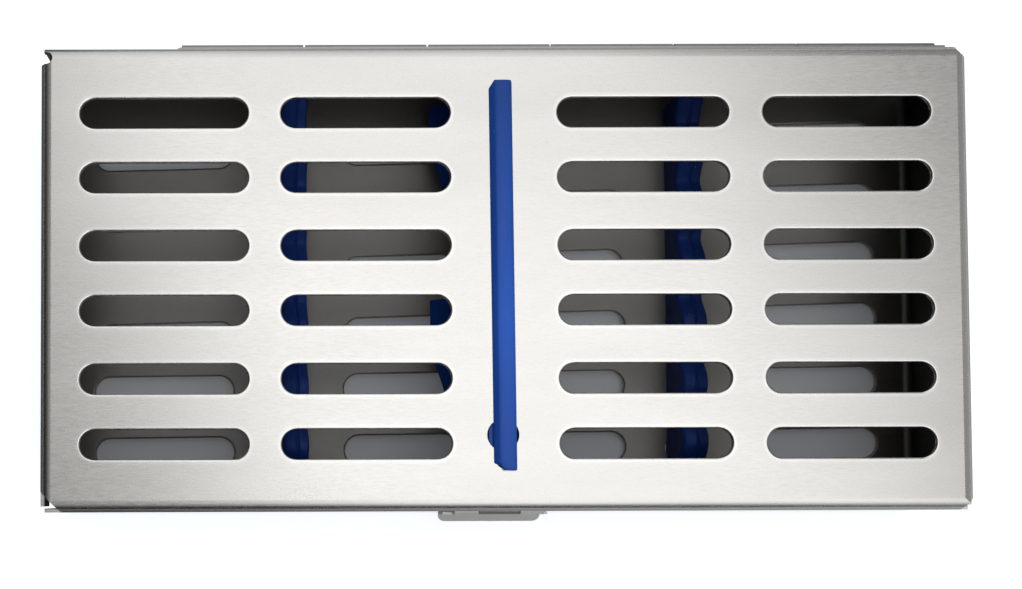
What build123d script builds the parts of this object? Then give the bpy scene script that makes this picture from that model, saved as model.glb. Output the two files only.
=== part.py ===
from build123d import *
import os
from math import cos, radians, sin, sqrt, tan

# A dental instrument cassette: two folded steel halves on a rear hinge, two notched silicone rails
# that hold the instruments, a silicone hold-down strip in the lid and a swinging latch in front.
# Millimetres. X runs along the cassette, +Y towards the hinge, +Z up, and the origin is at the
# middle of its bottom, where it rests on the two rails' beads.

os.makedirs("parts", exist_ok=True)

# ---- Folded halves
LENGTH = 183.6              # outside, along X
WIDTH = 92.1                # outside, along Y
SHEET = 0.8                 # steel sheet of both halves
BEND_R = 2.4                # outer radius of the folds
BEAD_H = 1.2                # height of a silicone bead outside its sheet
FLOOR_Z = BEAD_H            # underside of the base's floor
PARTING_Z = 21.8            # height at which the halves meet
PARTING_GAP = 0.4
BASE_EDGE_Z = PARTING_Z - PARTING_GAP / 2
LID_EDGE_Z = PARTING_Z + PARTING_GAP / 2
LID_TOP_Z = 29.8            # outer face of the lid's plate
LID_CORNERS = (             # side in X and Y, how far Y and X walls stop short, legs of the cut
    (-1, -1, 0.8, 1.2, 4.3),
    (1, -1, 0.8, 1.0, 2.7),
    (-1, 1, 0.8, 3.4, 0),
    (1, 1, 1.4, 1.4, 0),
)
BASE_CORNERS = (
    (-1, -1, 0.8, 2.7, 3.0),
    (1, -1, 0.8, 1.0, 3.0),
    (-1, 1, 0.8, 1.0, 3.0),
    (1, 1, 0.8, 1.0, 3.0),
)
LID_ROUND_CUTS = (          # at the lid's rear corners: side in X, middle in from end and rear, radius
    (-1, 1.3, 2.2, 1.2),
    (1, 0.0, 0.0, 2.4),
)
TOLERANCE = 0.01            # for picking edges by length or height
HALF_L = LENGTH / 2
HALF_W = WIDTH / 2
FLOOR_TOP_Z = FLOOR_Z + SHEET
LID_INNER_Z = LID_TOP_Z - SHEET

# ---- Slots, punched in pairs of rows: columns are (middle, length), pairs are (middle, skew in degrees)
LID_SLOT_H = 5.9
LID_COLUMNS = ((-67.25, 33.1), (-27.5, 33.3), (27.3, 33.75), (67.55, 33.05))
LID_ROW_SPACING = 12.83     # between the two rows of a pair
LID_PAIRS = ((26.24, 0.0), (-0.07, 0.0), (-26.38, 0.0))
FLOOR_SLOT_H = 6.25
FLOOR_COLUMNS = ((-69.75, 29.7), (-18.9, 24.2), (17.4, 24.0), (68.8, 29.8))
FLOOR_ROW_SPACING = 13.3
FLOOR_PAIRS = ((26.1, 1.26), (-0.3, 1.53), (-26.15, 0.64))
LID_RIM_R = 0.35            # rolled edge of the lid's slots
FLOOR_RIM_R = 0.45

# ---- Silicone mouldings: a bead outside the sheet, a neck in its keyhole slot, a body inside
BEAD_W = 5.2
BEAD_CROWN_W = 3.6
BEAD_L = 77.0
KEY_SLOT_W = 3.0
KEY_SLOT_L = 76.0
KEY_HOLE_D = 6.3
KEY_HOLE_OFFSET = 31.5      # from the slot's middle towards the front
NECK_W = 2.8
NECK_L = 75.4

# ---- Rails on the floor
RAILS = (("rail_left", -41.8, -2.1), ("rail_right", 41.2, -1.3))     # name and middle
RAIL_W = 5.3
RAIL_L = 84.6
CREST_H = 13.7              # above the floor
NOTCH_H = 9.5               # bottom of a notch, above the floor
NOTCHES = 7
NOTCH_PITCH = 12.2
NOTCH_FLAT = 1.6
CREST_FLAT = 3.0
NOTCH_R = 1.6
CREST_R = 2.4
FOOT_R = 1.6                # clears the inside of the floor's folds

# ---- Hold-down strip in the lid: soft paddles that lean to the left and right in turn
STRIP_X = -0.8              # the strip sits a touch left of the middle
STRIP_Y = 0.4
ROOT_W = 5.3
ROOT_H = 2.0
PADDLES = (                 # front end, rear end and lean of each
    (-37.7, -23.2, 1),
    (-22.4, -2.2, -1),
    (-1.4, 18.8, 1),
    (19.6, 38.5, -1),
)
PADDLE_REACH = 12.8         # from the strip's middle to a paddle's tip
PADDLE_TIP_Z = 11.4
PADDLE_ROOT_T = 2.6
PADDLE_TIP_T = 1.3
PADDLE_CUT_X = 2.6          # slanted front corner of a paddle, across and along
PADDLE_CUT_Y = 10.0

# ---- Rear hinge: two welded leaves with rolled knuckles on one pin
LEAF_T = 0.5
PIN_R = 0.65
PIN_CLEARANCE = 0.05
PIN_RIM_R = 0.2             # rounded rims of both pins' ends
BORE_R = PIN_R + PIN_CLEARANCE
KNUCKLE_R = BORE_R + LEAF_T
HINGE_SETBACK = 0.25        # between a knuckle and the walls' outer face
HINGE_Y = HALF_W + HINGE_SETBACK + KNUCKLE_R
HINGE_X0 = -64.5            # left end of the hinge
KNUCKLES = 6
KNUCKLE_PITCH = 25.0
LAST_KNUCKLE_EXTRA = 3.0    # the strip was cut behind a knuckle, so the last one is longer
KNUCKLE_GAP = 0.4
HINGE_L = KNUCKLES * KNUCKLE_PITCH + LAST_KNUCKLE_EXTRA
KNUCKLE_RELIEF = 1.9        # from the axis to the edge of a leaf beside the other leaf's knuckle
BASE_LEAF_LOW_Z = 9.8
LID_LEAF_TOP_Z = 27.3
PIN_OVERHANG = 0.7

# ---- Front latch: a lever on a short pin, carried by a bracket inside the lid's front wall
LATCH_X = -0.7
LATCH_Y = -45.6
LATCH_Z = 22.3
LATCH_T = 0.5
LATCH_PIN_R = 0.6
LATCH_BORE_R = LATCH_PIN_R + PIN_CLEARANCE
LATCH_KNUCKLE_R = LATCH_BORE_R + LATCH_T
BARREL_HALF = 9.0           # half the width of the latch's barrel
MIDDLE_HALF = 4.0           # half the width of the bracket's knuckle
LATCH_SIDE_GAP = 0.2
BRACKET_LOW_Z = LATCH_Z + 1.7
BRACKET_TOP_Z = 27.3
WINDOW_HALF = 9.9           # half the width of the window around the barrel
WINDOW_CLEAR = 0.45
LEVER_W = 21.2
LEVER_X = -1.25            # the lever's plate sits a touch left of its knuckles
LEVER_SHOULDER_Z = 20.4     # where the lever widens below its knuckles
LEVER_OUT_Y = LATCH_Y - LATCH_KNUCKLE_R
LIP_Z = 11.2                # where the thumb lip starts to flare
LIP_ANGLE = 46.7            # from the lever's plate
LIP_L = 2.15
LIP_CORNER_R = 1.6
LATCH_PIN_HEAD = 0.4

# ---- Snap: a dimple pressed into the lever, which sits in a hole in the base's front wall
SNAP_Z = 13.9
SNAP_H = 1.8
SNAP_L = 11.0
SNAP_PROUD = 0.35
SNAP_EDGE_R = 0.25
SNAP_HOLE_H = 3.2
SNAP_HOLE_L = 12.6


def folded_half(plate_z, edge_z):
    """A rectangular plate with four folded walls that run from the plate's outer face to edge_z."""
    rise = edge_z - plate_z
    inward = SHEET if rise > 0 else -SHEET
    plate_side = 0 if rise > 0 else -1
    with BuildSketch(Plane.XY.offset(plate_z)) as plate:
        Rectangle(LENGTH, WIDTH)
    outer = extrude(plate.sketch, amount=rise)
    fillet(outer.faces().sort_by(Axis.Z)[plate_side].edges(), BEND_R)
    with BuildSketch(Plane.XY.offset(plate_z + inward)) as inside:
        Rectangle(LENGTH - 2 * SHEET, WIDTH - 2 * SHEET)
    hollow = extrude(inside.sketch, amount=rise, mode=Mode.SUBTRACT)
    inner_z = plate_z + inward
    shell = hollow.edges().filter_by_position(Axis.Z, inner_z - TOLERANCE, inner_z + TOLERANCE)
    inner_edges = [e for e in shell if abs(e.center().X) < HALF_L - SHEET / 2
                   and abs(e.center().Y) < HALF_W - SHEET / 2]
    fillet(inner_edges, BEND_R - SHEET)


def open_corners(plate_z, edge_z, corners, round_cuts):
    """Opens the four corners: the walls stop short, and the fold's corner is cut off or punched."""
    rise = edge_z - plate_z
    fold = BEND_R if rise > 0 else -BEND_R
    with BuildSketch(Plane.XY.offset(plate_z)) as gaps:
        for side_x, side_y, stop_x, stop_y, _ in corners:
            with Locations((side_x * (HALF_L - stop_x / 2), side_y * (HALF_W - stop_y / 2))):
                Rectangle(stop_x, stop_y)
    extrude(gaps.sketch, amount=rise, mode=Mode.SUBTRACT)
    with BuildSketch(Plane.XY.offset(plate_z)) as reliefs:
        for side_x, side_y, _, _, legs in corners:
            if legs > 0:
                with Locations((side_x * HALF_L, side_y * HALF_W)):
                    Rectangle(legs * sqrt(2), legs * sqrt(2), rotation=45)
        for side_x, in_x, in_y, radius in round_cuts:
            with Locations((side_x * (HALF_L - in_x), HALF_W - in_y)):
                Circle(radius)
    extrude(reliefs.sketch, amount=fold, mode=Mode.SUBTRACT)


def punched_slots(columns, pairs, spacing, height):
    """The rows of round-ended slots: a pair of rows is one stroke of the punch, turned by its skew."""
    for pair_y, skew in pairs:
        with Locations(Location((0, pair_y, 0), (0, 0, skew))):
            for x, length in columns:
                with Locations((x, spacing / 2), (x, -spacing / 2)):
                    SlotOverall(length, height)


def keyhole(x, y):
    """The slot that a silicone neck sits in, with the round hole that it is threaded in through."""
    with Locations((x, y)):
        SlotOverall(KEY_SLOT_L, KEY_SLOT_W, rotation=90)
    with Locations((x, y - KEY_HOLE_OFFSET)):
        Circle(KEY_HOLE_D / 2)


def silicone_anchor(x, y, sheet_out_z, outward):
    """The bead outside a sheet and the neck through it; outward is 1 for up and -1 for down."""
    with BuildSketch(Plane.XY.offset(sheet_out_z)) as bead_foot:
        with Locations((x, y)):
            Rectangle(BEAD_W, BEAD_L)
    with BuildSketch(Plane.XY.offset(sheet_out_z + outward * BEAD_H)) as bead_crown:
        with Locations((x, y)):
            Rectangle(BEAD_CROWN_W, BEAD_L - BEAD_W + BEAD_CROWN_W)
    loft([bead_foot.sketch.face(), bead_crown.sketch.face()])
    with BuildSketch(Plane.XY.offset(sheet_out_z)) as neck:
        with Locations((x, y)):
            SlotOverall(NECK_L, NECK_W, rotation=90)
    extrude(neck.sketch, amount=-outward * SHEET)


def comb_outline(rail_y):
    """Points of a rail's side view, (y, z): a flat foot and a row of notches between crests."""
    start = rail_y - RAIL_L / 2
    stop = rail_y + RAIL_L / 2
    low = FLOOR_TOP_Z + NOTCH_H
    high = FLOOR_TOP_Z + CREST_H
    half_mouth = (NOTCH_PITCH - CREST_FLAT) / 2
    points = [(start, FLOOR_TOP_Z), (start, high)]
    for index in range(NOTCHES):
        middle = rail_y + (index - (NOTCHES - 1) / 2) * NOTCH_PITCH
        points.append((middle - half_mouth, high))
        points.append((middle - NOTCH_FLAT / 2, low))
        points.append((middle + NOTCH_FLAT / 2, low))
        points.append((middle + half_mouth, high))
    points.append((stop, high))
    points.append((stop, FLOOR_TOP_Z))
    return points


def knuckle_start(index):
    """Left end of a rear hinge knuckle."""
    return HINGE_X0 + index * KNUCKLE_PITCH + KNUCKLE_GAP / 2


def hinge_leaf(low_z, high_z, indices, bore_r):
    """A leaf on the walls' outer face, with a tongue and a rolled knuckle for each index."""
    with BuildSketch(Plane.YZ.offset(knuckle_start(0))) as strip:
        with Locations((HALF_W, low_z)):
            Rectangle(LEAF_T, high_z - low_z, align=(Align.MIN, Align.MIN))
    extrude(strip.sketch, amount=HINGE_L - KNUCKLE_GAP)
    tongue_low = min(PARTING_Z, high_z)
    tongue_high = max(PARTING_Z, low_z)
    for index in indices:
        with BuildSketch(Plane.YZ.offset(knuckle_start(index))) as knuckle:
            with Locations((HINGE_Y, PARTING_Z)):
                Circle(KNUCKLE_R)
            with Locations((HALF_W, tongue_low)):
                Rectangle(LEAF_T, tongue_high - tongue_low, align=(Align.MIN, Align.MIN))
            with Locations((HINGE_Y, PARTING_Z)):
                Circle(bore_r, mode=Mode.SUBTRACT)
        extra = LAST_KNUCKLE_EXTRA if index == KNUCKLES - 1 else 0
        extrude(knuckle.sketch, amount=KNUCKLE_PITCH + extra - KNUCKLE_GAP)


# ---------------------------------------------------------------- base tray
with BuildPart() as base_tray:
    folded_half(FLOOR_Z, BASE_EDGE_Z)
    with BuildSketch(Plane.XY.offset(FLOOR_Z)):
        punched_slots(FLOOR_COLUMNS, FLOOR_PAIRS, FLOOR_ROW_SPACING, FLOOR_SLOT_H)
    extrude(amount=SHEET, mode=Mode.SUBTRACT)
    level_faces = base_tray.faces().filter_by_position(Axis.Z, FLOOR_TOP_Z, FLOOR_TOP_Z)
    fillet(level_faces.sort_by(SortBy.AREA)[-1].inner_wires().edges(), FLOOR_RIM_R)
    with BuildSketch(Plane.XY.offset(FLOOR_Z)):
        for _, rail_x, rail_y in RAILS:
            keyhole(rail_x, rail_y)
    extrude(amount=SHEET, mode=Mode.SUBTRACT)
    open_corners(FLOOR_Z, BASE_EDGE_Z, BASE_CORNERS, ())
    # Window in the front wall's edge for the lower half of the latch's barrel
    window_low_z = LATCH_Z - LATCH_KNUCKLE_R - WINDOW_CLEAR
    with BuildSketch(Plane.XZ.offset(HALF_W)):
        with Locations((LATCH_X, BASE_EDGE_Z)):
            Rectangle(2 * WINDOW_HALF, BASE_EDGE_Z - window_low_z, align=(Align.CENTER, Align.MAX))
    extrude(amount=-SHEET, mode=Mode.SUBTRACT)
    # Hole that the lever's dimple snaps into
    with BuildSketch(Plane.XZ.offset(HALF_W)):
        with Locations((LATCH_X, SNAP_Z)):
            SlotOverall(SNAP_HOLE_L, SNAP_HOLE_H)
    extrude(amount=-SHEET, mode=Mode.SUBTRACT)
base_tray.part.label = "base_tray"
export_step(base_tray.part, "parts/base_tray.step")

# ---------------------------------------------------------------- lid cover
with BuildPart() as lid_cover:
    folded_half(LID_TOP_Z, LID_EDGE_Z)
    with BuildSketch(Plane.XY.offset(LID_TOP_Z)):
        punched_slots(LID_COLUMNS, LID_PAIRS, LID_ROW_SPACING, LID_SLOT_H)
    extrude(amount=-SHEET, mode=Mode.SUBTRACT)
    fillet(lid_cover.faces().sort_by(Axis.Z)[-1].inner_wires().edges(), LID_RIM_R)
    with BuildSketch(Plane.XY.offset(LID_TOP_Z)):
        keyhole(STRIP_X, STRIP_Y)
    extrude(amount=-SHEET, mode=Mode.SUBTRACT)
    open_corners(LID_TOP_Z, LID_EDGE_Z, LID_CORNERS, LID_ROUND_CUTS)
    # Window in the front wall's edge for the upper half of the latch's barrel
    with BuildSketch(Plane.XZ.offset(HALF_W)):
        with Locations((LATCH_X, LID_EDGE_Z)):
            Rectangle(2 * WINDOW_HALF, BRACKET_LOW_Z - LID_EDGE_Z, align=(Align.CENTER, Align.MIN))
    extrude(amount=-SHEET, mode=Mode.SUBTRACT)
lid_cover.part.label = "lid_cover"
export_step(lid_cover.part, "parts/lid_cover.step")

# ---------------------------------------------------------------- rear hinge
with BuildPart() as hinge_leaf_base:
    hinge_leaf(BASE_LEAF_LOW_Z, PARTING_Z - KNUCKLE_RELIEF, range(0, KNUCKLES, 2), PIN_R)
hinge_leaf_base.part.label = "hinge_leaf_base"
export_step(hinge_leaf_base.part, "parts/hinge_leaf_base.step")

with BuildPart() as hinge_leaf_lid:
    hinge_leaf(PARTING_Z + KNUCKLE_RELIEF, LID_LEAF_TOP_Z, range(1, KNUCKLES, 2), BORE_R)
hinge_leaf_lid.part.label = "hinge_leaf_lid"
export_step(hinge_leaf_lid.part, "parts/hinge_leaf_lid.step")

with BuildPart() as hinge_pin:
    with BuildSketch(Plane.YZ.offset(HINGE_X0 - PIN_OVERHANG)):
        with Locations((HINGE_Y, PARTING_Z)):
            Circle(PIN_R)
    extrude(amount=HINGE_L + 2 * PIN_OVERHANG)
    pin_rims = hinge_pin.edges().group_by(Axis.X)
    fillet(pin_rims[0] + pin_rims[-1], PIN_RIM_R)
hinge_pin.part.label = "hinge_pin"
export_step(hinge_pin.part, "parts/hinge_pin.step")

# ---------------------------------------------------------------- silicone rails
for rail_name, rail_x, rail_y in RAILS:
    with BuildPart() as rail:
        silicone_anchor(rail_x, rail_y, FLOOR_Z, -1)
        with BuildSketch(Plane.YZ.offset(rail_x - RAIL_W / 2)) as comb:
            with BuildLine():
                Polyline(*comb_outline(rail_y), close=True)
            make_face()
            fillet(comb.vertices().group_by(Axis.Y)[-1].sort_by(Axis.X)[1:-1], CREST_R)
            fillet(comb.vertices().group_by(Axis.Y)[1], NOTCH_R)
            fillet(comb.vertices().group_by(Axis.Y)[0], FOOT_R)
        extrude(amount=RAIL_W)
    rail.part.label = rail_name
    export_step(rail.part, f"parts/{rail_name}.step")

# ---------------------------------------------------------------- hold-down strip
with BuildPart() as hold_down_strip:
    silicone_anchor(STRIP_X, STRIP_Y, LID_TOP_Z, 1)
    with BuildSketch(Plane.XY.offset(LID_INNER_Z)):
        with Locations((STRIP_X, STRIP_Y)):
            Rectangle(ROOT_W, BEAD_L)
    extrude(amount=-ROOT_H)
    root_z = LID_INNER_Z - ROOT_H
    for front_y, rear_y, lean in PADDLES:
        with BuildSketch(Plane.XZ.offset(-front_y)):
            with BuildLine():
                tip_x = STRIP_X + lean * (PADDLE_REACH - PADDLE_TIP_T / 2)
                Polyline(
                    (STRIP_X - PADDLE_ROOT_T / 2, root_z),
                    (STRIP_X + PADDLE_ROOT_T / 2, root_z),
                    (tip_x + PADDLE_TIP_T / 2, PADDLE_TIP_Z),
                    (tip_x - PADDLE_TIP_T / 2, PADDLE_TIP_Z),
                    close=True,
                )
            make_face()
        extrude(amount=front_y - rear_y)
        with BuildSketch(Plane.XY.offset(PADDLE_TIP_Z)):
            with BuildLine():
                Polyline(
                    (STRIP_X + lean * (PADDLE_REACH - PADDLE_CUT_X), front_y),
                    (STRIP_X + lean * PADDLE_REACH, front_y),
                    (STRIP_X + lean * PADDLE_REACH, front_y + PADDLE_CUT_Y),
                    close=True,
                )
            make_face()
        extrude(amount=PADDLE_CUT_X * 2, mode=Mode.SUBTRACT)
hold_down_strip.part.label = "hold_down_strip"
export_step(hold_down_strip.part, "parts/hold_down_strip.step")

# ---------------------------------------------------------------- front latch
with BuildPart() as latch_bracket:
    bracket_y = -(HALF_W - SHEET - LATCH_T)
    with BuildSketch(Plane.XZ.offset(-bracket_y)):
        with Locations((LATCH_X, BRACKET_LOW_Z)):
            Rectangle(2 * BARREL_HALF, BRACKET_TOP_Z - BRACKET_LOW_Z, align=(Align.CENTER, Align.MIN))
    extrude(amount=LATCH_T)
    with BuildSketch(Plane.YZ.offset(LATCH_X - MIDDLE_HALF)):
        with Locations((LATCH_Y, LATCH_Z)):
            Circle(LATCH_KNUCKLE_R)
        with Locations((bracket_y, LATCH_Z)):
            Rectangle(LATCH_T, BRACKET_LOW_Z - LATCH_Z, align=(Align.MAX, Align.MIN))
        with Locations((LATCH_Y, LATCH_Z)):
            Circle(LATCH_PIN_R, mode=Mode.SUBTRACT)
    extrude(amount=2 * MIDDLE_HALF)
latch_bracket.part.label = "latch_bracket"
export_step(latch_bracket.part, "parts/latch_bracket.step")

with BuildPart() as latch_pin:
    with BuildSketch(Plane.YZ.offset(LATCH_X - BARREL_HALF - LATCH_PIN_HEAD)):
        with Locations((LATCH_Y, LATCH_Z)):
            Circle(LATCH_PIN_R)
    extrude(amount=2 * (BARREL_HALF + LATCH_PIN_HEAD))
    latch_pin_rims = latch_pin.edges().group_by(Axis.X)
    fillet(latch_pin_rims[0] + latch_pin_rims[-1], PIN_RIM_R)
latch_pin.part.label = "latch_pin"
export_step(latch_pin.part, "parts/latch_pin.step")

with BuildPart() as latch_lever:
    lip_out = LIP_L * sin(radians(LIP_ANGLE))
    lip_drop = LIP_L * cos(radians(LIP_ANGLE))
    back_out = LATCH_T * cos(radians(LIP_ANGLE))
    back_drop = LATCH_T * sin(radians(LIP_ANGLE))
    mitre = LATCH_T * tan(radians(LIP_ANGLE / 2))
    plate_back_y = LEVER_OUT_Y + LATCH_T
    with BuildSketch(Plane.YZ.offset(LEVER_X - LEVER_W / 2)):
        with BuildLine():
            Polyline(
                (LEVER_OUT_Y, LEVER_SHOULDER_Z),
                (LEVER_OUT_Y, LIP_Z),
                (LEVER_OUT_Y - lip_out, LIP_Z - lip_drop),
                (LEVER_OUT_Y - lip_out + back_out, LIP_Z - lip_drop - back_drop),
                (plate_back_y, LIP_Z - mitre),
                (plate_back_y, LEVER_SHOULDER_Z),
                close=True,
            )
        make_face()
    extrude(amount=LEVER_W)
    across = latch_lever.edges().filter_by(Axis.X, reverse=True)
    short = [edge for edge in across if abs(edge.length - LATCH_T) < TOLERANCE]
    fillet([edge for edge in short if edge.center().Z < LIP_Z - lip_drop + TOLERANCE], LIP_CORNER_R)
    for side in (-1, 1):
        inner_x = MIDDLE_HALF + LATCH_SIDE_GAP
        start_x = inner_x if side > 0 else -BARREL_HALF
        with BuildSketch(Plane.YZ.offset(LATCH_X + start_x)):
            with Locations((LATCH_Y, LATCH_Z)):
                Circle(LATCH_KNUCKLE_R)
            with Locations((LEVER_OUT_Y, LEVER_SHOULDER_Z)):
                Rectangle(LATCH_T, LATCH_Z - LEVER_SHOULDER_Z, align=(Align.MIN, Align.MIN))
            with Locations((LATCH_Y, LATCH_Z)):
                Circle(LATCH_BORE_R, mode=Mode.SUBTRACT)
        extrude(amount=BARREL_HALF - inner_x)
    # Snap dimple, pressed inwards, so it is hollow outside
    with BuildSketch(Plane.XZ.offset(-plate_back_y)):
        with Locations((LATCH_X, SNAP_Z)):
            SlotOverall(SNAP_L, SNAP_H)
    dimple = extrude(amount=-SNAP_PROUD)
    fillet(dimple.faces().sort_by(Axis.Y)[-1].edges(), SNAP_EDGE_R)
    with BuildSketch(Plane.XZ.offset(-LEVER_OUT_Y)):
        with Locations((LATCH_X, SNAP_Z)):
            SlotOverall(SNAP_L - LATCH_T, SNAP_H - LATCH_T)
    extrude(amount=-SNAP_PROUD, mode=Mode.SUBTRACT)
latch_lever.part.label = "latch_lever"
export_step(latch_lever.part, "parts/latch_lever.step")
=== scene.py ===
"""The looks of a dental instrument cassette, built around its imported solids.

Metres, in the solids' own frame: X runs along the cassette, +Y towards the hinge, +Z up, and the
origin is at the middle of its bottom. Sizes in the classes below are in millimetres, as on a
drawing, and `MM` turns them into metres where a mesh is made.
"""

import logging
import math
from dataclasses import dataclass, field
from enum import Enum

import bmesh
import bpy
import numpy as np
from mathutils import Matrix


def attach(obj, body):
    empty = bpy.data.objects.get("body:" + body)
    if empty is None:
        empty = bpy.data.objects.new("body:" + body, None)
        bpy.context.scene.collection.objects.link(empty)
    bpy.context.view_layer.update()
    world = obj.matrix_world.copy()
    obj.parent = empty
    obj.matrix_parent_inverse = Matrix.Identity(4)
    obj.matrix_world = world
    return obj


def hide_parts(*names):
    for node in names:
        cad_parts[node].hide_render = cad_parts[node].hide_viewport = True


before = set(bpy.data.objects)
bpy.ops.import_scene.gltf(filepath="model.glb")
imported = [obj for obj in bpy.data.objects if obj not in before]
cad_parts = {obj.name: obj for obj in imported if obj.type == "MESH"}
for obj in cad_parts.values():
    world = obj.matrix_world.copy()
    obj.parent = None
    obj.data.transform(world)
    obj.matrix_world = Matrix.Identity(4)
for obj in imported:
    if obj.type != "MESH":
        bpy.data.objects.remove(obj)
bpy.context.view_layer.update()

LOG = logging.getLogger("cassette")
MM = 0.001
Array = np.ndarray
Colour = tuple[float, float, float]


class Body(Enum):
    """The bodies of the cassette that move on their own."""

    BASE = "base"
    LID = "lid"
    LATCH = "latch"


class Lean(Enum):
    """Which side of the hold-down strip a paddle leans to."""

    LEFT = -1
    RIGHT = 1


# ---------------------------------------------------------------- surfaces

def ring_faces(rows: int, columns: int) -> Array:
    """Faces between neighbouring rings of a grid whose rings close on themselves.

    Args:
        rows: number of rings.
        columns: number of points in a ring.

    Returns:
        Four corner numbers for each face, where corner number = row x columns + column.
    """
    ring = np.arange(columns)
    after = np.roll(ring, -1)
    start = np.arange(rows - 1)[:, None] * columns
    corners = [start + ring, start + after, start + columns + after, start + columns + ring]
    return np.stack(corners, axis=-1).reshape(-1, 4)


def ladder_faces(start: int, columns: int) -> Array:
    """Faces that close a ring like the rungs of a ladder: point i is joined to point n - 1 - i."""
    rung = np.arange(columns // 2 - 1)
    far = start + columns - 1 - rung
    return np.stack([start + rung, start + rung + 1, far - 1, far], axis=-1)


def rounded_ring(half_x: float, half_y: float, corner: float, steps: int = 8) -> Array:
    """Points of a rectangle with round corners, from the middle of its +Y side round by +X.

    Each corner is a quarter circle: its centre plus corner x (sin angle, cos angle).

    Args:
        half_x: half of its size along X.
        half_y: half of its size along Y.
        corner: radius of its corners.
        steps: points in a corner.

    Returns:
        An array of 4 x steps points (x, y), its own mirror image in X from end to end.
    """
    angle = np.linspace(0, math.pi / 2, steps)[None, :] + np.arange(4)[:, None] * math.pi / 2
    side_x = np.array([1, 1, -1, -1])[:, None]
    side_y = np.array([1, -1, -1, 1])[:, None]
    x = side_x * (half_x - corner) + corner * np.sin(angle)
    y = side_y * (half_y - corner) + corner * np.cos(angle)
    return np.stack([x.ravel(), y.ravel()], axis=-1)


def soft_clamp(value: Array, sharpness: float) -> Array:
    """A value held between 0 and 1 with rounded bends: the difference of two soft ramps."""
    low = np.logaddexp(0, sharpness * value)
    high = np.logaddexp(0, sharpness * (value - 1))
    return (low - high) / sharpness


@dataclass
class Shell:
    """The surfaces of one piece, gathered from grids of points in millimetres."""

    points: list[Array] = field(default_factory=list)
    faces: list[Array] = field(default_factory=list)
    count: int = 0

    def add_tube(self, rings: Array) -> None:
        """Adds a closed tube with both ends closed.

        Args:
            rings: points as (ring, point in the ring, xyz).
        """
        rows, columns = rings.shape[:2]
        self.points.append(rings.reshape(-1, 3))
        parts = [ring_faces(rows, columns), ladder_faces(0, columns)[:, ::-1],
                 ladder_faces((rows - 1) * columns, columns)]
        self.faces.extend(part + self.count for part in parts)
        self.count += rows * columns

    def to_object(self, name: str, body: Body, sharp_deg: float = 40.0) -> bpy.types.Object:
        """Makes the piece's object at the origin and lets it ride on its body.

        Args:
            name: name of the piece.
            body: the body that it moves with.
            sharp_deg: edges that turn by more than this stay sharp in the shading.

        Returns:
            The new object.
        """
        mesh = bpy.data.meshes.new(name)
        points = np.concatenate(self.points) * MM
        mesh.from_pydata(points.tolist(), [], np.concatenate(self.faces).tolist())
        shape = bmesh.new()
        shape.from_mesh(mesh)
        bmesh.ops.remove_doubles(shape, verts=shape.verts, dist=1e-7)
        bmesh.ops.recalc_face_normals(shape, faces=shape.faces)
        shape.to_mesh(mesh)
        shape.free()
        mesh.polygons.foreach_set("use_smooth", np.ones(len(mesh.polygons), bool))
        mesh.set_sharp_from_angle(angle=math.radians(sharp_deg))
        piece = bpy.data.objects.new(name, mesh)
        bpy.context.scene.collection.objects.link(piece)
        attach(piece, body.value)
        return piece


# ---------------------------------------------------------------- finishes

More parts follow.
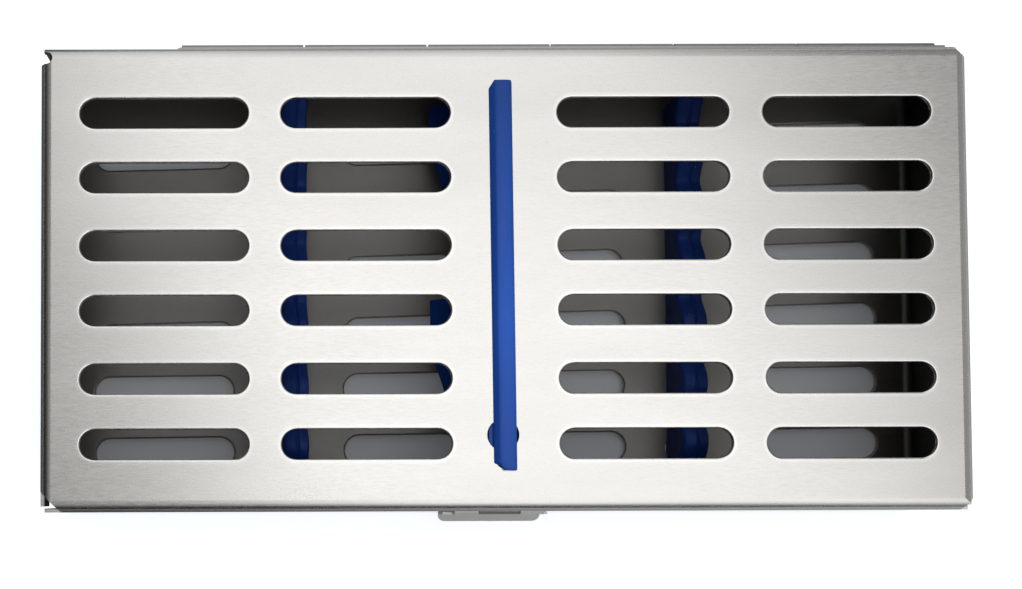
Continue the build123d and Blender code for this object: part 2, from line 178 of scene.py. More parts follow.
@dataclass
class Nodes:
    """A material's node tree, with short ways to add and join nodes."""

    tree: bpy.types.NodeTree

    @classmethod
    def of(cls, name: str) -> tuple[bpy.types.Material, "Nodes"]:
        """A new material and its node tree."""
        material = bpy.data.materials.new(name)
        material.use_nodes = True
        return material, cls(material.node_tree)

    @property
    def shader(self) -> bpy.types.Node:
        """The material's Principled shader."""
        return self.tree.nodes["Principled BSDF"]

    def add(self, kind: str, **values: object) -> bpy.types.Node:
        """Adds a node; a value named for an input is set on it, or joined when it is a socket.

        Args:
            kind: the node's type, without its ShaderNode.
            values: properties of the node, or inputs of it with _ for a space.

        Returns:
            The new node.
        """
        node = self.tree.nodes.new("ShaderNode" + kind)
        for key, value in values.items():
            if hasattr(node, key):
                setattr(node, key, value)
        for key, value in values.items():
            if not hasattr(node, key):
                self.put(value, node.inputs[key.replace("_", " ")])
        return node

    def put(self, value: object, socket: bpy.types.NodeSocket) -> None:
        """Joins a socket to an input, or sets the input's own value."""
        if isinstance(value, bpy.types.NodeSocket):
            self.tree.links.new(value, socket)
        else:
            socket.default_value = value

    def noise(self, scale: tuple[float, float, float], detail: float = 3.0,
              rough: float = 0.55) -> bpy.types.NodeSocket:
        """Noise on object coordinates, stretched by its scale along X, Y and Z, per metre."""
        place = self.add("TexCoord").outputs["Object"]
        moved = self.add("Mapping", Vector=place)
        moved.inputs["Scale"].default_value = scale
        grain = self.add("TexNoise", Vector=moved.outputs[0], Scale=1.0, Detail=detail,
                         Roughness=rough)
        return grain.outputs["Fac"]

    def span(self, value: bpy.types.NodeSocket, low: float, high: float,
             start: float = 0.0, stop: float = 1.0) -> bpy.types.NodeSocket:
        """A value mapped in a straight line from start..stop to low..high, and held there."""
        ranged = self.add("MapRange", Value=value)
        for key, number in (("From Min", start), ("From Max", stop), ("To Min", low),
                            ("To Max", high)):
            ranged.inputs[key].default_value = number
        return ranged.outputs["Result"]

    def math(self, operation: str, one: object, two: object = 0.0) -> bpy.types.NodeSocket:
        """The result of one arithmetic step."""
        node = self.add("Math", operation=operation)
        self.put(one, node.inputs[0])
        self.put(two, node.inputs[1])
        return node.outputs[0]

    def specks(self, amount: float, per_metre: float) -> bpy.types.NodeSocket:
        """Sparse round specks: cells of noise, of which the given share holds one."""
        place = self.add("TexCoord").outputs["Object"]
        cells = self.add("TexVoronoi", Vector=place, Scale=per_metre)
        chosen = self.add("SeparateColor", Color=cells.outputs["Color"])
        keep = self.math("LESS_THAN", chosen.outputs["Red"], amount)
        dot = self.span(cells.outputs["Distance"], 1, 0, 0.06, 0.14)
        return self.math("MULTIPLY", keep, dot)

    def mix(self, share: object, one: object, two: object) -> bpy.types.NodeSocket:
        """A colour between two colours, by share."""
        node = self.add("Mix", data_type="RGBA")
        self.put(share, node.inputs[0])
        self.put(one, node.inputs[6])
        self.put(two, node.inputs[7])
        return node.outputs[2]


def rgba(colour: Colour) -> tuple[float, float, float, float]:
    """A linear colour with full alpha."""
    return (*colour, 1.0)


@dataclass(frozen=True)
class SlotRows:
    """Where a half's round-ended slots are, for the painted highlight round their rims."""

    columns: tuple[tuple[float, float], ...]
    rows: tuple[float, ...]
    height: float

    def distance(self, nodes: Nodes) -> bpy.types.NodeSocket:
        """How far a point is from the nearest slot's edge, in metres.

        Across, it is the least of |y - row|. Along, it is the least of |x - middle| less half of
        the straight part, and at least 0. The distance is the length of the two less the radius.
        """
        place = nodes.add("SeparateXYZ", Vector=nodes.add("TexCoord").outputs["Object"])
        radius = self.height / 2
        across: object = 1.0
        for row in self.rows:
            gap = nodes.math("ABSOLUTE", nodes.math("SUBTRACT", place.outputs["Y"], row * MM))
            across = nodes.math("MINIMUM", across, gap)
        along: object = 1.0
        for middle, length in self.columns:
            gap = nodes.math("ABSOLUTE", nodes.math("SUBTRACT", place.outputs["X"], middle * MM))
            gap = nodes.math("SUBTRACT", gap, (length / 2 - radius) * MM)
            along = nodes.math("MINIMUM", along, nodes.math("MAXIMUM", gap, 0.0))
        square = nodes.math("ADD", nodes.math("POWER", across, 2.0),
                            nodes.math("POWER", along, 2.0))
        return nodes.math("SUBTRACT", nodes.math("SQRT", square), radius * MM)


@dataclass(frozen=True)
class WeldSpots:
    """Round marks that spot welds leave on an upright sheet, seen from the front or the rear."""

    places: tuple[tuple[float, float], ...]      # x and z of each
    radius: float = 1.3
    flat_share: float = 0.55                     # share of the radius that is flat
    stain: Colour = (0.20, 0.17, 0.14)
    stain_share: float = 0.35
    deep_mm: float = 0.15

    def depth(self, nodes: Nodes) -> bpy.types.NodeSocket:
        """1 in the middle of a mark and 0 outside: the least distance to one, by its radius."""
        place = nodes.add("SeparateXYZ", Vector=nodes.add("TexCoord").outputs["Object"]).outputs
        nearest: object = 1.0
        for x, z in self.places:
            across = nodes.math("SUBTRACT", place["X"], x * MM)
            up = nodes.math("SUBTRACT", place["Z"], z * MM)
            square = nodes.math("ADD", nodes.math("MULTIPLY", across, across),
                                nodes.math("MULTIPLY", up, up))
            nearest = nodes.math("MINIMUM", nearest, nodes.math("SQRT", square))
        return nodes.span(nearest, 1, 0, self.flat_share * self.radius * MM, self.radius * MM)


@dataclass(frozen=True)
class BrushedSteel:
    """Stainless steel, brushed along X, and along Y on faces that look along X."""

    name: str
    colour: Colour = (0.575, 0.563, 0.542)
    shade: Colour = (0.495, 0.484, 0.466)
    roughness: float = 0.25
    spread: float = 0.05          # how much the roughness varies with the grain
    grain_mm: float = 0.13        # width of a brushed line
    run_mm: float = 2.2           # length of a brushed line
    bump: float = 0.16
    cloud: float = 0.45           # how much the soft clouding shows beside the grain
    slots: SlotRows | None = None
    rim_highlight_mm: float = 1.2          # width of the painted highlight round a slot
    rim_highlight_fade: float = 1.6        # how fast it fades outwards
    rim_highlight_share: float = 0.55      # how much of its colour shows
    rim_highlight_colour: Colour = (0.84, 0.83, 0.81)
    dust: float = 0.0             # how many small pale specks lie on it
    dust_per_metre: float = 700.0
    dust_colour: Colour = (0.55, 0.52, 0.48)
    welds: WeldSpots | None = None
    inside: float = 0.55          # how bright the painted shade leaves the inner faces beside the outer ones
    inner_wall: float = 0.22      # and how bright it leaves those that stand upright
    # painted shade: the colour that the inner faces are darkened towards
    inner_shade_colour: Colour = (0.02, 0.02, 0.02)
    inner_half: tuple[float, float] = (91.2, 45.45)
    inner_low: float = 1.9        # height from which a face counts as inside
    inner_high: float = 29.1      # and up to which it does

    def grain(self, nodes: Nodes) -> bpy.types.NodeSocket:
        """Stretched noise, turned to run along Y where the face looks along X."""
        fine = 1 / (self.grain_mm * MM)
        long = 1 / (self.run_mm * MM)
        facing = nodes.add("SeparateXYZ", Vector=nodes.add("NewGeometry").outputs["Normal"])
        turned = nodes.math("GREATER_THAN", nodes.math("ABSOLUTE", facing.outputs["X"]), 0.7)
        along_x = nodes.math("MULTIPLY", nodes.noise((long, fine, fine)),
                             nodes.math("SUBTRACT", 1.0, turned))
        along_y = nodes.math("MULTIPLY", nodes.noise((fine, long, fine)), turned)
        return nodes.math("ADD", along_x, along_y)

    def within(self, nodes: Nodes) -> bpy.types.NodeSocket:
        """1 inside the box that the inner faces bound, where shade is painted, and 0 outside it."""
        place = nodes.add("SeparateXYZ", Vector=nodes.add("TexCoord").outputs["Object"]).outputs
        tests = [nodes.math("LESS_THAN", nodes.math("ABSOLUTE", place[axis]), half * MM)
                 for axis, half in zip("XY", self.inner_half)]
        tests.append(nodes.math("GREATER_THAN", place["Z"], self.inner_low * MM))
        tests.append(nodes.math("LESS_THAN", place["Z"], self.inner_high * MM))
        inside = tests[0]
        for test in tests[1:]:
            inside = nodes.math("MULTIPLY", inside, test)
        return inside

    def material(self) -> bpy.types.Material:
        """Builds the material: grain and clouds drive the colour, the grain roughness and bump."""
        material, nodes = Nodes.of(self.name)
        grain = self.grain(nodes)
        cloud = nodes.noise((30.0, 110.0, 110.0), detail=4.0)
        streak = nodes.span(grain, 0, 1 - self.cloud, 0.3, 0.7)
        tone = nodes.math("ADD", streak, nodes.span(cloud, 0, self.cloud, 0.3, 0.7))
        colour = nodes.mix(tone, rgba(self.shade), rgba(self.colour))
        rough = nodes.span(grain, self.roughness - self.spread, self.roughness + self.spread,
                           0.3, 0.7)
        # Painted highlight: a pale ring round each slot's rim.
        if self.slots:
            ring = nodes.span(self.slots.distance(nodes), 1, 0, 0.0, self.rim_highlight_mm * MM)
            ring = nodes.math("POWER", ring, self.rim_highlight_fade)
            colour = nodes.mix(nodes.math("MULTIPLY", ring, self.rim_highlight_share), colour,
                               rgba(self.rim_highlight_colour))
        if self.dust:
            colour = nodes.mix(nodes.specks(self.dust, self.dust_per_metre), colour,
                               rgba(self.dust_colour))
        shader = nodes.shader
        # Painted shade: faces inside the box are darkened, upright ones most.
        facing = nodes.add("SeparateXYZ", Vector=nodes.add("NewGeometry").outputs["Normal"])
        upright = nodes.span(nodes.math("ABSOLUTE", facing.outputs["Z"]), 1 - self.inner_wall,
                             1 - self.inside, 0.3, 0.8)
        painted_shade = nodes.math("MULTIPLY", self.within(nodes), upright)
        colour = nodes.mix(painted_shade, colour, rgba(self.inner_shade_colour))
        nodes.put(colour, shader.inputs["Base Color"])
        shader.inputs["Metallic"].default_value = 1.0
        nodes.put(rough, shader.inputs["Roughness"])
        relief = nodes.add("Bump", Height=grain, Strength=self.bump)
        relief.inputs["Distance"].default_value = 0.02 * MM
        normal = relief.outputs[0]
        if self.welds:
            mark = self.welds.depth(nodes)
            share = nodes.math("MULTIPLY", mark, self.welds.stain_share)
            nodes.put(nodes.mix(share, colour, rgba(self.welds.stain)), shader.inputs["Base Color"])
            dent = nodes.add("Bump", invert=True, Height=mark, Strength=0.8, Normal=normal)
            dent.inputs["Distance"].default_value = self.welds.deep_mm * MM
            normal = dent.outputs[0]
        nodes.put(normal, shader.inputs["Normal"])
        return material


@dataclass(frozen=True)
class SatinSilicone:
    """Moulded blue silicone: satin, with a faint bloom and tiny specks of dust."""

    name: str
    colour: Colour = (0.020, 0.135, 0.700)
    shade: Colour = (0.014, 0.105, 0.580)
    speck: Colour = (0.35, 0.42, 0.62)
    roughness: float = 0.50
    painted_shade_colour: Colour | None = None    # painted shade: the colour far from the lit middle and on left facets
    # where the painted light is brightest along Y, and how far it fades
    painted_light_y: float = -8.0
    painted_light_reach: float = 45.0

    def painted_light_share(self, nodes: Nodes) -> bpy.types.NodeSocket:
        """Share of the plain blue against the painted shade: 1 at the middle along Y, straight down
        to 0 over the reach, less on faces that look left.
        """
        place = nodes.add("SeparateXYZ", Vector=nodes.add("TexCoord").outputs["Object"]).outputs
        away = nodes.math("ABSOLUTE", nodes.math("SUBTRACT", place["Y"], self.painted_light_y * MM))
        facing = nodes.add("SeparateXYZ", Vector=nodes.add("NewGeometry").outputs["Normal"]).outputs
        left = nodes.span(facing["X"], 0.15, 1, -0.6, -0.3)
        return nodes.math("MULTIPLY", nodes.span(away, 1, 0, 0.0, self.painted_light_reach * MM), left)

    def material(self) -> bpy.types.Material:
        """Builds the material: soft clouds in colour and roughness, specks, and a fine skin."""
        material, nodes = Nodes.of(self.name)
        cloud = nodes.noise((160.0, 50.0, 160.0), detail=4.0)
        skin = nodes.noise((2600.0, 2600.0, 2600.0), detail=2.0)
        blue = nodes.mix(nodes.span(cloud, 0, 1, 0.3, 0.7), rgba(self.shade), rgba(self.colour))
        # Painted shade: darker away from the middle along Y and on faces that look left.
        if self.painted_shade_colour:
            blue = nodes.mix(self.painted_light_share(nodes), rgba(self.painted_shade_colour), blue)
        shader = nodes.shader
        nodes.put(nodes.mix(nodes.specks(0.03, 900.0), blue, rgba(self.speck)),
                  shader.inputs["Base Color"])
        nodes.put(nodes.span(cloud, self.roughness - 0.06, self.roughness + 0.08, 0.3, 0.7),
                  shader.inputs["Roughness"])
        shader.inputs["Specular IOR Level"].default_value = 0.35
        relief = nodes.add("Bump", Height=skin, Strength=0.12)
        relief.inputs["Distance"].default_value = 0.02 * MM
        nodes.put(relief.outputs[0], shader.inputs["Normal"])
        return material


def dress(piece: bpy.types.Object, finish: bpy.types.Material) -> None:
    """Gives a piece one material."""
    piece.data.materials.clear()
    piece.data.materials.append(finish)


# ---------------------------------------------------------------- sub-assemblies

@dataclass
class SteelHalves:
    """The folded lid and base, shown as their own solids."""

    lid: BrushedSteel = BrushedSteel("lid_steel", slots=SlotRows(
        columns=((-67.25, 33.1), (-27.5, 33.3), (27.3, 33.75), (67.55, 33.05)),
        rows=(32.655, 19.825, 6.345, -6.485, -19.965, -32.795), height=5.9))
    tray: BrushedSteel = BrushedSteel("tray_steel", colour=(0.48, 0.46, 0.43),
                                      shade=(0.38, 0.364, 0.34), roughness=0.45, dust=0.10)

    def build(self) -> None:
        """Dresses both halves."""
        dress(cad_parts["lid_cover"], self.lid.material())
        dress(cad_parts["base_tray"], self.tray.material())
        LOG.info("lid cover and base tray dressed")


@dataclass
class NotchedRail:
    """A silicone rail: a comb with two soft lobes on top, its neck and its bead under the floor."""

    node: str
    x: float
    y: float
    width: float = 5.3
    length: float = 84.6
    foot_z: float = 2.0
    notch_z: float = 11.5
    crest_z: float = 15.7
    pitch: float = 12.2
    notches: int = 7
    flank_start: float = 0.5      # from a notch's middle to the foot of its flank
    flank_stop: float = 4.9       # from a notch's middle to the top of its flank
    edge_r: float = 0.9           # rounded long edges of the top
    groove_x: float = 0.2         # the seam between the lobes
    groove_depth: float = 0.45
    groove_half: float = 0.45
    bulge: float = 0.25           # how far the top falls from its middle to its long edges
    end_r: float = 0.7
    sheet: float = 0.8
    bead: tuple[float, float] = (5.2, 77.0)
    bead_h: float = 1.2
    neck: tuple[float, float] = (2.8, 75.4)
    lean: float = 0.0             # how far the crests lean to the right
    lean_from: float = 8.0        # height at which the lean starts

    def top_height(self, y: Array) -> Array:
        """Height of the comb: a soft ramp of the distance to the nearest notch's middle."""
        from_middle = (y - self.y) / self.pitch
        nearest = np.clip(np.round(from_middle), -(self.notches // 2), self.notches // 2)
        away = np.abs(from_middle - nearest) * self.pitch
        share = (away - self.flank_start) / (self.flank_stop - self.flank_start)
        return self.notch_z + (self.crest_z - self.notch_z) * soft_clamp(share, 9.0)

    def section(self) -> tuple[Array, Array, Array]:
        """Across the rail: x, the share of the local height, and the drop below the top.

        The drop is a quarter circle at each long edge plus a V at the seam between the lobes.
        """
        half = self.width / 2
        turn = np.linspace(0, math.pi / 2, 6)
        edge_x = half - self.edge_r + self.edge_r * np.cos(turn)
        edge_drop = self.edge_r - self.edge_r * np.sin(turn)
        inner = np.linspace(-1, 1, 22)[1:-1] * (half - self.edge_r)
        nearest = np.argsort(np.abs(inner - self.groove_x))[:2]
        inner[nearest] = (self.groove_x - 0.05, self.groove_x + 0.05)
        inner.sort()
        seam = np.clip(1 - np.abs(inner - self.groove_x) / self.groove_half, 0, 1)
        bulge = self.bulge * (np.abs(inner) / (half - self.edge_r)) ** 2
        wall = np.linspace(0, 1, 7)[:-1]
        x = np.concatenate([np.full(6, -half), -edge_x, inner, edge_x[::-1], np.full(6, half)])
        rise = np.concatenate([wall, np.ones(32), wall[::-1]])
        drop = np.concatenate([self.edge_r * wall, edge_drop + self.bulge,
                               self.groove_depth * seam + bulge, edge_drop[::-1] + self.bulge,
                               self.edge_r * wall[::-1]])
        return x, rise, drop

    def comb(self) -> Array:
        """The comb as rings across the rail, drawn in at both ends by a quarter circle."""
        x, rise, drop = self.section()
        turn = np.linspace(0, math.pi / 2, 5)
        half = self.length / 2
        middle = np.arange(-half + self.end_r, half - self.end_r, 0.3)
        cap_y = half - self.end_r + self.end_r * np.sin(turn)
        cap_in = self.end_r * (1 - np.cos(turn))
        y = np.concatenate([-cap_y[::-1], middle[1:], cap_y])[:, None] + self.y
        inset = np.concatenate([cap_in[::-1], np.zeros(len(middle) - 1), cap_in])[:, None]
        top = self.top_height(y)
        z = self.foot_z + inset + (top - self.foot_z - 2 * inset) * rise - drop * (rise > 0)
        share = np.clip((z - self.lean_from) / (self.crest_z - self.lean_from), 0, 1)
        across = self.x + x * (1 - 2 * inset / self.width) + self.lean * share ** 2
        return np.stack([across, y + 0 * z, z], axis=-1)

    def anchor(self) -> Array:
        """The bead under the floor and the neck through it, as rings that climb from the bottom."""
        bead_x, bead_y = self.bead[0] / 2, self.bead[1] / 2
        neck_x, neck_y = self.neck[0] / 2, self.neck[1] / 2
        turn = np.linspace(0, math.pi / 2, 6)
        levels = [(bead_x - 0.8 + 0.8 * s, bead_y - 0.8 + 0.8 * s, 0.9 - 0.9 * c)
                  for s, c in zip(np.sin(turn), np.cos(turn))]
        levels += [(bead_x, bead_y, self.bead_h), (neck_x, neck_y, self.bead_h),
                   (neck_x, neck_y, self.foot_z + 0.3)]
        rings = []
        for half_x, half_y, z in levels:
            ring = rounded_ring(half_x, half_y, min(half_x, 1.4))
            rings.append(np.column_stack([ring + (self.x, self.y), np.full(len(ring), z)]))
        return np.array(rings)

    def build(self, finish: bpy.types.Material) -> None:
        """Builds the rail, dresses it and puts it in its solid's place."""
        shell = Shell()
        shell.add_tube(self.comb())
        shell.add_tube(self.anchor())
        piece = shell.to_object(self.node + "_silicone", Body.BASE)
        dress(piece, finish)
        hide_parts(self.node)
        LOG.info("%s built: %d faces", piece.name, len(piece.data.polygons))


@dataclass
class HoldDownStrip:
    """The strip in the lid: a facetted bead outside, a root inside and four thin leaning paddles."""

    x: float = -0.8
    y: float = 0.4
    plate_z: float = 29.8
    sheet: float = 0.8
    bead_x: float = -0.65
    bead_w: float = 4.5
    bead_l: float = 77.0
    bead_h: float = 1.2
    bead_turn: float = 0.25       # how far its ends are off: front to the right, rear to the left
    root_w: float = 5.3
    root_h: float = 2.0
    neck: tuple[float, float] = (2.8, 75.4)
    reach: float = 12.8
    tip_z: float = 11.4
    root_t: float = 2.6
    tip_t: float = 1.3
    bow: float = 1.2
    cut: tuple[float, float] = (2.6, 10.0)
    paddles: tuple[tuple[float, float, Lean], ...] = (
        (-37.7, -23.2, Lean.RIGHT), (-22.4, -2.2, Lean.LEFT), (-1.4, 18.8, Lean.RIGHT),
        (19.6, 38.5, Lean.LEFT))
    front_step: float = 1.4       # how much shorter the bead's left side is in front
    rear_cut: float = 1.4         # and behind, where only its corner is cut off

    def bead(self) -> Array:
        """The bead's facetted section carried along Y.

        At the front the left side ends short in a soft step, 1 - s x s x (3 - 2 s) of front_step.
        At the rear only the left corner is cut, in a straight line over 1 mm. Both fade out over
        5 mm. The bead's middle moves against y in a straight line, by bead_turn at its ends.
        """
        half = self.bead_w / 2
        section = np.array([
            (-half, 0.0), (-half + 0.05, 0.32), (-half + 1.0, 1.04), (-half + 1.2, 1.13),
            (-0.4, self.bead_h), (1.5, 1.16), (half - 0.45, 1.04), (half - 0.12, 0.72),
            (half, 0.35), (half, 0.0),
        ])
        ends = np.array([1.0, 0.5, 0.15, 0.0])
        steps = np.concatenate([ends, np.zeros(38), ends[::-1]])[:, None]
        half_l = self.bead_l / 2
        tips = np.array([0.0, 0.12, 0.4, 0.8])
        y = np.concatenate([tips - half_l, np.linspace(1.2 - half_l, half_l - 1.2, 38),
                            half_l - tips[::-1]])[:, None]
        from_left = section[None, :, 0] + half
        share = np.clip((from_left - 0.6) / 1.4, 0, 1)
        front = self.front_step * (1 - share * share * (3 - 2 * share))
        rear = self.rear_cut * np.clip(1 - from_left, 0, 1)
        y_moved = (y + self.y + front * np.clip((5.0 - half_l - y) / 5.0, 0, 1)
                   - rear * np.clip((y - half_l + 5.0) / 5.0, 0, 1))
        across = (self.bead_x - self.bead_turn * y / half_l
                  + section[None, :, 0] * (1 - 0.06 * steps))
        up = self.plate_z + section[None, :, 1] * (1 - 0.35 * steps)
        return np.stack([across, y_moved, up], axis=-1)

    def root(self) -> Array:
        """The root under the plate and the neck through it, as rings that climb."""
        root_x, root_y = self.root_w / 2, self.bead_l / 2
        neck_x, neck_y = self.neck[0] / 2, self.neck[1] / 2
        inner = self.plate_z - self.sheet
        levels = [(root_x - 1.0, root_y - 0.5, inner - self.root_h),
                  (root_x - 0.3, root_y - 0.2, inner - 1.7), (root_x, root_y, inner - 1.0),
                  (root_x, root_y, inner), (neck_x, neck_y, inner),
                  (neck_x, neck_y, self.plate_z + 0.2)]
        rings = []
        for half_x, half_y, z in levels:
            ring = rounded_ring(half_x, half_y, min(half_x, 1.2))
            rings.append(np.column_stack([ring + (self.x, self.y), np.full(len(ring), z)]))
        return np.array(rings)

    def paddle(self, index: int) -> Array:
        """One paddle: a tapering blade with a slight bow, carried along Y.

        At a share t of the way to its tip the blade's middle line is root + t x (tip - root), bowed
        outwards by bow x sin(pi t); half the thickness goes in a straight line from root to tip.
        The share that is left at the front grows with y, which gives the slanted corner.
        """
        front_y, rear_y, lean = self.paddles[index]
        y = np.linspace(front_y, rear_y, 28)[:, None]
        start = self.plate_z - self.sheet - self.root_h + 0.4
        share = np.clip((y - front_y) / self.cut[1], 0, 1)
        length = 1 - (self.cut[0] / self.reach) * (1 - share)
        t = np.linspace(0, 1, 14)
        cap = np.linspace(0, math.pi, 8)[1:-1]
        along = np.concatenate([t, np.ones(6), t[::-1]])[None, :]
        bulge = np.concatenate([np.zeros(14), np.sin(cap), np.zeros(14)])[None, :]
        side = np.concatenate([np.ones(14), np.cos(cap), -np.ones(14)])[None, :]
        way = along * length
        tip_x = self.reach - self.tip_t * 0.6
        drop = start - self.tip_z - self.tip_t * 0.5
        norm = math.hypot(tip_x, drop)
        half = (self.root_t + (self.tip_t - self.root_t) * way) / 2 * 0.8
        bow = self.bow * np.sin(math.pi * way)
        out_x, out_z = drop / norm, tip_x / norm
        x = way * tip_x - (bow - half * side) * out_x + bulge * half * tip_x / norm
        z = start - way * drop - (bow - half * side) * out_z - bulge * half * drop / norm
        return np.stack([self.x + lean.value * x, y + 0 * x, z], axis=-1)

    def build(self, finish: bpy.types.Material) -> None:
        """Builds the strip, dresses it and puts it in its solid's place."""
        shell = Shell()
        shell.add_tube(self.bead())
        shell.add_tube(self.root())
        for index in range(len(self.paddles)):
            shell.add_tube(self.paddle(index))
        piece = shell.to_object("hold_down_strip_silicone", Body.LID, 28.0)
        dress(piece, finish)
        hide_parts("hold_down_strip")
        LOG.info("%s built: %d faces", piece.name, len(piece.data.polygons))


@dataclass
class RearHinge:
    """The hinge's leaves and pin, with the marks of its spot welds."""

    steel: BrushedSteel = BrushedSteel(
        "hinge_steel", colour=(0.30, 0.293, 0.282), shade=(0.24, 0.234, 0.226), roughness=0.30,
        welds=WeldSpots(tuple((x, z) for x in (-57.0, -34.2, -11.4, 11.4, 34.2, 57.0)
                              for z in (12.9, 25.6))))
    pin: BrushedSteel = BrushedSteel("pin_steel", colour=(0.36, 0.352, 0.342),
                                     shade=(0.28, 0.274, 0.266), roughness=0.24, run_mm=0.6,
                                     grain_mm=0.1)

    def build(self) -> None:
        """Dresses the leaves and both pins."""
        leaf = self.steel.material()
        dress(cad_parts["hinge_leaf_base"], leaf)
        dress(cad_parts["hinge_leaf_lid"], leaf)
        pin = self.pin.material()
        dress(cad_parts["hinge_pin"], pin)
        dress(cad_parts["latch_pin"], pin)
        LOG.info("rear hinge dressed")


@dataclass
class FrontLatch:
    """The swinging lever and the bracket that carries it."""

    # The lever is written far brighter than the other steel: painted light on its lip, which its own
    # tilt does not catch.
    lever: BrushedSteel = BrushedSteel("latch_steel", colour=(0.90, 0.89, 0.87),
                                       shade=(0.80, 0.79, 0.77), roughness=0.60)
    bracket: BrushedSteel = BrushedSteel("bracket_steel", colour=(0.38, 0.372, 0.36),
                                         shade=(0.30, 0.293, 0.283), roughness=0.34)

    def build(self) -> None:
        """Dresses the lever and its bracket."""
        dress(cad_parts["latch_lever"], self.lever.material())
        dress(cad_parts["latch_bracket"], self.bracket.material())
        LOG.info("front latch dressed")


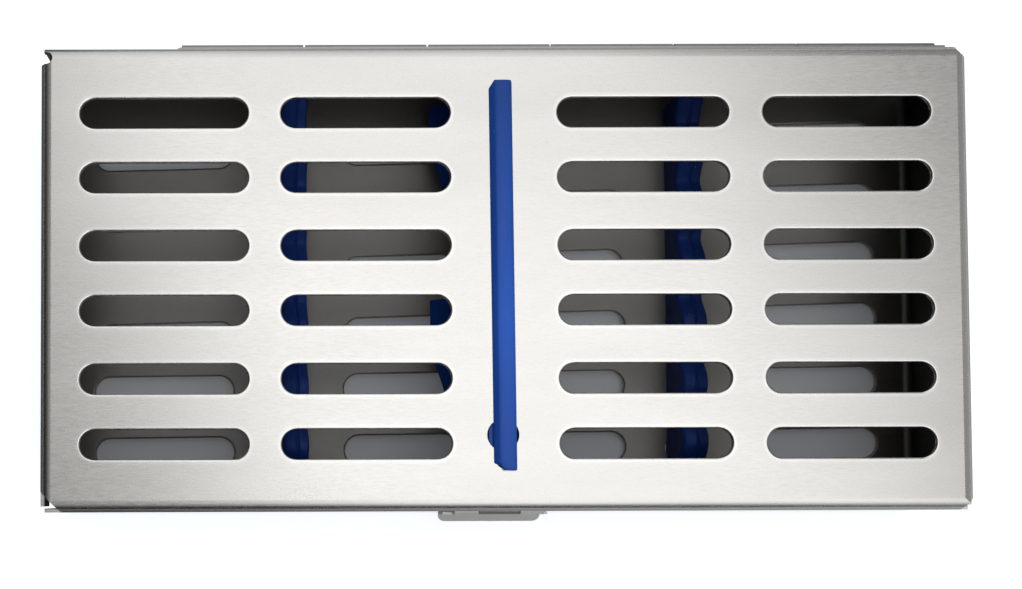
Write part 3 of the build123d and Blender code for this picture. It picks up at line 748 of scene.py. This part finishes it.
@dataclass
class Studio:
    """A pale floor, soft light and the camera at the photograph's angle."""

    camera_at: tuple[float, float, float] = (-0.04046, -0.04280, 0.30326)
    camera_turn: tuple[float, float, float] = (2.0, 0.0, -0.184)
    lens: float = 49.254
    shift: tuple[float, float] = (0.2056, 0.1487)
    side_levels: tuple[tuple[float, float], ...] = (
        (-1.0, 0.01), (-0.95, 0.01), (-0.87, 0.02), (-0.75, 0.05), (-0.60, 0.11), (-0.45, 0.16),
        (-0.28, 0.15), (-0.18, 0.17), (-0.12, 0.58), (-0.04, 1.0), (0.04, 0.76), (0.12, 0.66),
        (0.20, 0.82), (0.28, 0.80), (0.36, 0.40), (0.43, 0.17), (0.60, 0.15), (0.75, 0.17),
        (0.90, 0.19), (1.0, 0.18))
    front_levels: tuple[tuple[float, float], ...] = (
        (-1.0, 0.03), (-0.96, 0.04), (-0.87, 0.15), (-0.77, 0.45), (-0.64, 0.74), (-0.41, 0.88),
        (-0.20, 0.86), (-0.05, 0.86), (0.08, 1.0), (0.20, 0.92), (0.32, 0.72), (0.50, 0.68),
        (0.72, 0.63), (0.85, 0.57), (1.0, 0.46))
    sky_level: float = 2.70
    slant: tuple[float, float] = (-0.09, 0.08)       # how far the bright strip moves to the left
    slant_from: tuple[float, float] = (-0.02, 0.35)  # between these two directions in Y
    front_slant: tuple[float, float] = (-0.07, 0.0)  # and how far to the right, low in front
    front_from: tuple[float, float] = (-0.70, -0.15)
    floor_half: float = 3.0
    floor_colour: Colour = (0.62, 0.64, 0.68)
    glow_away: float = 0.78       # how white the paper looks away from the cassette
    glow_in_painted_shadow: float = 0.05      # and under it, where a shadow is painted
    # half the size of the painted shadow under the cassette, in metres
    painted_shadow_half: tuple[float, float] = (0.0888, 0.0430)
    painted_shadow_reach: float = 1.000   # how far the painted shadow round the cassette reaches in the mirrored paper
    painted_shadow_edge: float = 0.004    # half of the width of its soft edge
    painted_dark_paper: Colour = (0.02, 0.02, 0.02)   # the paper's colour painted dark in reflections, to the left and front left

    def painted_dark_share(self, nodes: Nodes, place: bpy.types.NodeOutputs) -> bpy.types.NodeSocket:
        """How much the paper is painted dark in reflections, to the left and to the front left, for
        the folds.

        1 to the left of the cassette, and in front of it a straight line from 1 at its left end to
        0 right of its middle.

        Args:
            nodes: the paper's node tree.
            place: the outputs X and Y of a point of the paper.

        Returns:
            The socket that carries the share.
        """
        left = nodes.span(place["X"], 1, 0, -0.100, -0.088)
        ahead = nodes.span(place["Y"], 1, 0, -0.058, -0.044)
        front = nodes.math("MULTIPLY", ahead, nodes.span(place["X"], 1, 0, -0.090, 0.050))
        return nodes.math("MAXIMUM", left, front)

    def floor(self) -> None:
        """A large pale sheet of paper under the cassette."""
        mesh = bpy.data.meshes.new("floor")
        side = self.floor_half
        mesh.from_pydata([(-side, -side, 0), (side, -side, 0), (side, side, 0), (-side, side, 0)], [],
                         [(0, 1, 2, 3)])
        floor = bpy.data.objects.new("floor", mesh)
        bpy.context.scene.collection.objects.link(floor)
        material, nodes = Nodes.of("paper")
        shader = nodes.shader
        shader.inputs["Roughness"].default_value = 0.9
        rays = nodes.add("LightPath").outputs
        place = nodes.add("SeparateXYZ", Vector=nodes.add("TexCoord").outputs["Object"]).outputs
        beyond = [nodes.math("SUBTRACT", nodes.math("ABSOLUTE", place[axis]), half)
                  for axis, half in zip("XY", self.painted_shadow_half)]
        reach = nodes.math("MAXIMUM", *beyond)
        # Painted shadow: the paper's glow drops under the cassette for the camera, and fades out far
        # around it in reflections.
        edge = self.painted_shadow_edge
        away = nodes.span(reach, self.glow_in_painted_shadow, self.glow_away, -edge, edge)
        far = nodes.span(reach, self.glow_in_painted_shadow, self.glow_away, -edge, self.painted_shadow_reach)
        mirrored = nodes.math("MAXIMUM", rays["Is Glossy Ray"], rays["Is Transmission Ray"])
        # Painted reflection: in glossy rays the paper turns dark to the left and front left.
        painted_dark = nodes.math("MULTIPLY", rays["Is Glossy Ray"], self.painted_dark_share(nodes, place))
        nodes.put(nodes.mix(painted_dark, rgba(self.floor_colour), rgba(self.painted_dark_paper)),
                  shader.inputs["Base Color"])
        glow = nodes.math("MAXIMUM", nodes.math("MULTIPLY", rays["Is Camera Ray"], away),
                          nodes.math("MULTIPLY", mirrored, far))
        shader.inputs["Emission Color"].default_value = (0.93, 0.96, 1.0, 1.0)
        nodes.put(glow, shader.inputs["Emission Strength"])
        floor.data.materials.append(material)

    def light(self) -> None:
        """One soft sky with a bright strip overhead that slants a little and reaches to the rear.

        Its level is side(x + slant(y)) x front(y) of the direction looked in, read from two curves,
        with both parts of the slant in straight lines between their ends.
        """
        world = bpy.data.worlds.new("studio")
        world.use_nodes = True
        bpy.context.scene.world = world
        nodes = Nodes(world.node_tree)
        way = nodes.add("SeparateXYZ", Vector=nodes.add("TexCoord").outputs["Generated"]).outputs
        across = nodes.math("ADD", way["X"], nodes.span(way["Y"], *self.slant, *self.slant_from))
        low_ahead = nodes.span(way["Y"], *self.front_slant, *self.front_from)
        across = nodes.math("ADD", across, low_ahead)
        level: object = self.sky_level
        for value, stops in ((across, self.side_levels), (way["Y"], self.front_levels)):
            ramp = nodes.add("ValToRGB", Fac=nodes.span(value, 0, 1, -1, 1))
            marks = ramp.color_ramp.elements
            while len(marks) < len(stops):
                marks.new(0.5)
            for mark, (at, amount) in zip(marks, stops):
                mark.position = (at + 1) / 2
                mark.color = (amount, amount, amount, 1.0)
            level = nodes.math("MULTIPLY", level, ramp.outputs["Color"])
        back = world.node_tree.nodes["Background"]
        back.inputs["Color"].default_value = (1.0, 1.0, 1.0, 1.0)
        seen = nodes.add("LightPath").outputs["Is Camera Ray"]
        nodes.put(nodes.math("MAXIMUM", level, seen), back.inputs["Strength"])

    def camera(self) -> None:
        """The camera that matches the photograph."""
        data = bpy.data.cameras.new("camera")
        data.lens = self.lens
        data.sensor_width = 36.0
        data.shift_x, data.shift_y = self.shift
        data.clip_start = 0.01
        camera = bpy.data.objects.new("camera", data)
        camera.location = self.camera_at
        camera.rotation_euler = [math.radians(turn) for turn in self.camera_turn]
        bpy.context.scene.collection.objects.link(camera)
        bpy.context.scene.camera = camera

    def build(self) -> None:
        """Sets up the whole studio."""
        bpy.context.scene.view_settings.view_transform = "Standard"
        self.floor()
        self.light()
        self.camera()
        LOG.info("studio ready")


def main() -> None:
    """Builds the pieces in order."""
    logging.basicConfig(level=logging.INFO, format="%(name)s: %(message)s")
    # The strip's blue gets painted shade towards its ends and on its left facets.
    silicone = SatinSilicone("blue_silicone", colour=(0.021, 0.142, 0.730),
                             shade=(0.015, 0.110, 0.610), painted_shade_colour=(0.006, 0.064, 0.360)).material()
    SteelHalves().build()
    # The rails' silicone is written darker than the strip's: painted shade for the inside of the
    # cassette.
    comb_silicone_shaded = SatinSilicone("comb_silicone_shaded", colour=(0.013, 0.062, 0.340),
                                  shade=(0.008, 0.040, 0.240)).material()
    NotchedRail("rail_left", -41.8, -2.1, lean=0.6).build(comb_silicone_shaded)
    NotchedRail("rail_right", 41.2, -1.3).build(comb_silicone_shaded)
    HoldDownStrip().build(silicone)
    RearHinge().build()
    FrontLatch().build()
    Studio().build()


if __name__ == "__main__":
    main()
